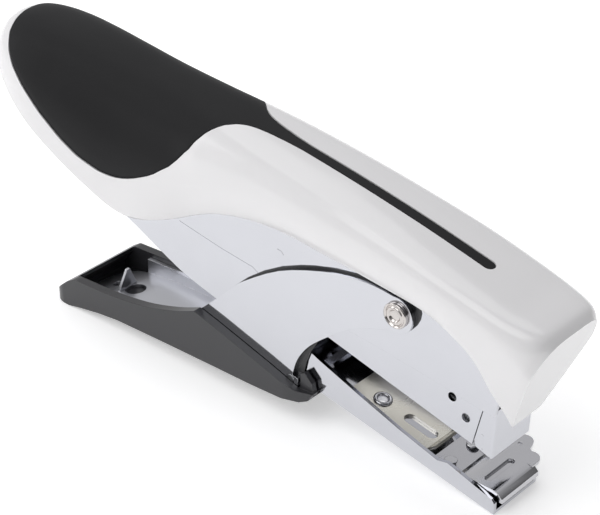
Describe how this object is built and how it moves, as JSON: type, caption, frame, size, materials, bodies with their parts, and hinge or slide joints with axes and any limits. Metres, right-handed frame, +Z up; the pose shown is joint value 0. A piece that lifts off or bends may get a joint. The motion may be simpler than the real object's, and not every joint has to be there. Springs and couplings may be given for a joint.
{
  "type": "plier stapler",
  "caption": "Hand-held plier stapler with a white shell, a black palm grip, a sprung chromed lower handle with a black cover, and a hinged lower jaw and magazine.",
  "frame": {"origin": "centre of the bounding box on the surface that the stapler stands on", "axes": "+X toward the nose where the staple comes out, +Z up, +Y toward the side with the anvil's thumb lobe"},
  "size_m": [0.18, 0.0352, 0.0795],
  "materials": {
    "white_shell": "gloss white ABS",
    "soft_grip": "matte soft-touch black",
    "zinc_screws": "zinc plated",
    "chrome_sheet": "bright chrome on pressed steel sheet",
    "rivet_steel": "bright nickel",
    "turned_steel": "turned and zinc plated",
    "hardened_steel": "ground",
    "black_plastic": "satin black ABS",
    "spring_wire": "drawn spring wire",
    "rail_steel": "zinc plated sheet",
    "staple_wire": "galvanised wire",
    "pusher_plastic": "matte acetal",
    "anvil_steel": "bright nickel on hardened sheet",
    "satin_strip": "satin nickel strip"
  },
  "bodies": {
    "frame": {"top_cover": "white_shell", "grip_overlay": "soft_grip", "cover_screws": "zinc_screws", "upper_frame": "chrome_sheet", "main_pivot_pin": "rivet_steel", "pivot_spacer": "turned_steel", "rear_hinge_pin": "turned_steel", "driver_blade": "hardened_steel", "driver_holder": "black_plastic", "driver_rivets": "rivet_steel", "magazine_spring": "spring_wire"},
    "handle": {"handle_frame": "chrome_sheet", "handle_cover": "black_plastic", "handle_cover_screws": "zinc_screws", "roller_pin": "turned_steel"},
    "roller": {"cam_roller": "turned_steel"},
    "jaw": {"anvil_arm": "chrome_sheet", "anvil_plate": "anvil_steel", "anvil_rivets": "rivet_steel", "jaw_strip": "satin_strip", "strip_eyelet": "rivet_steel", "jaw_spring": "spring_wire"},
    "magazine": {"magazine_channel": "chrome_sheet", "magazine_nose": "chrome_sheet", "magazine_rail": "rail_steel", "rail_rivets": "rivet_steel", "rear_stop": "chrome_sheet", "staple_strip": "staple_wire", "pusher_spring": "spring_wire"},
    "follower": {"pusher": "pusher_plastic", "guide_rod": "turned_steel"}
  },
  "joints": [
    {"name": "handle_squeeze", "type": "hinge", "parent": "frame", "child": "handle", "pos_m": [0.0478, 0, 0.0443], "axis": [0, 1, 0], "range_deg": [0, 11.5], "stiffness_Nm_per_rad": 2, "springref_deg": -17.19},
    {"name": "roller_spin", "type": "hinge", "parent": "handle", "child": "roller", "pos_m": [0.0148, 0, 0.011], "axis": [0, 1, 0], "continuous": true},
    {"name": "jaw_swing", "type": "hinge", "parent": "frame", "child": "jaw", "pos_m": [-0.0065, 0, 0.024], "axis": [0, -1, 0], "range_deg": [0, 11.6], "deforming": ["jaw_spring"]},
    {"name": "magazine_swing", "type": "hinge", "parent": "frame", "child": "magazine", "pos_m": [-0.0065, 0, 0.024], "axis": [0, -1, 0], "range_deg": [0, 6.2], "deforming": ["magazine_spring"]},
    {"name": "follower_slide", "type": "slide", "parent": "magazine", "child": "follower", "axis": [-0.9748, 0, 0.2233], "range_m": [0, 0.05], "stiffness_N_per_m": 60, "springref_m": -0.03, "deforming": ["pusher_spring"]}
  ],
  "couplings": [
    {"joint": "jaw_swing", "follows": "handle_squeeze", "ratio": 1},
    {"joint": "magazine_swing", "follows": "handle_squeeze", "ratio": 0.53}
  ]
}
